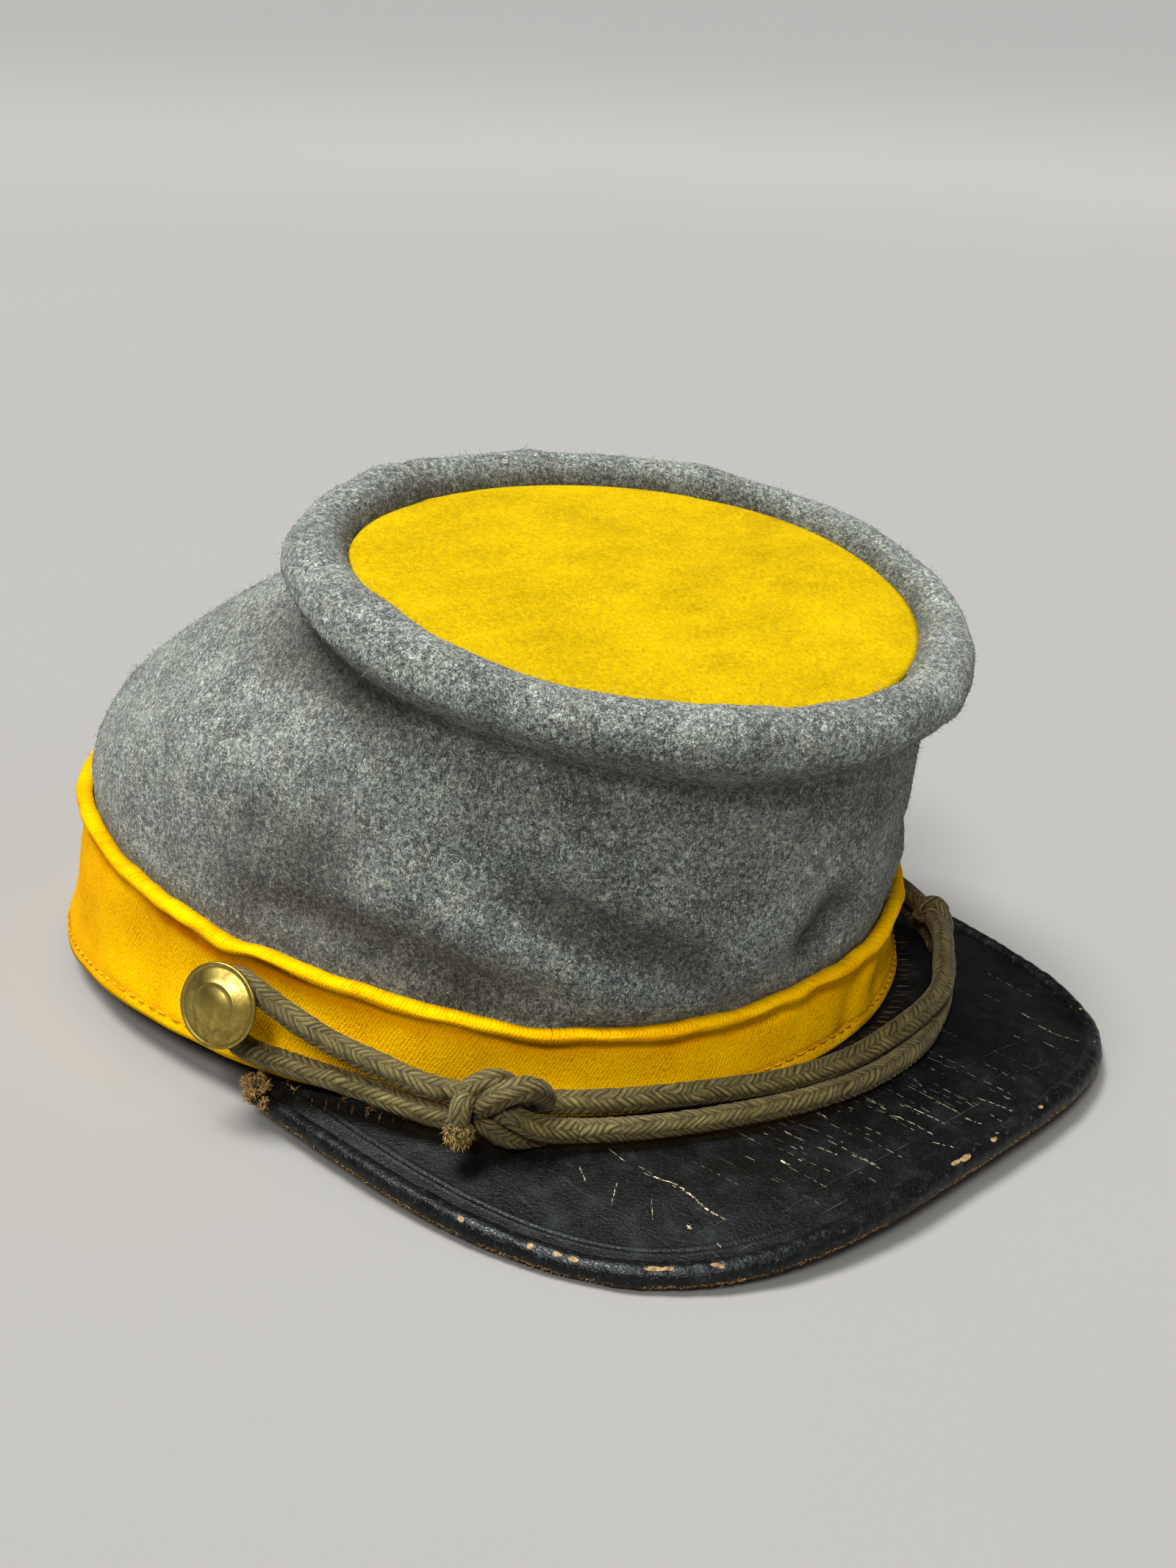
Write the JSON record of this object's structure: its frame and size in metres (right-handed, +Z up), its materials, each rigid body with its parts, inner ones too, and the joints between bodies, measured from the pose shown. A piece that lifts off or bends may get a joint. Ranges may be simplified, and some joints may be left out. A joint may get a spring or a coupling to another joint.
{
  "type": "kepi cap",
  "caption": "Low wool cap with a forward-leaning round top in a padded roll, a contrasting band, a leather peak, domed side buttons and a knotted chin cord.",
  "frame": {"origin": "on the surface that the cap rests on, under the middle of its box without the cord", "axes": "+Z up, -Y out of the front along the peak, +X to the wearer's left"},
  "size_m": [0.192, 0.2347, 0.1129],
  "materials": {
    "grey_wool": "heather grey felted wool",
    "yellow_wool": "bright yellow felted wool",
    "yellow_twill": "yellow wool twill",
    "black_leather": "worn satin black, cracked at the edges",
    "button_brass": "aged, half polished",
    "cord_braid": "olive-brown herringbone braid"
  },
  "bodies": {
    "root": {"crown": "grey_wool", "crown_disc": "yellow_wool", "band": "yellow_twill", "peak": "black_leather", "peak_binding": "black_leather", "button_right": "button_brass", "button_left": "button_brass", "chin_cord": "cord_braid", "cord_knot_right": "cord_braid", "cord_knot_left": "cord_braid", "cord_end": "cord_braid"}
  },
  "joints": []
}
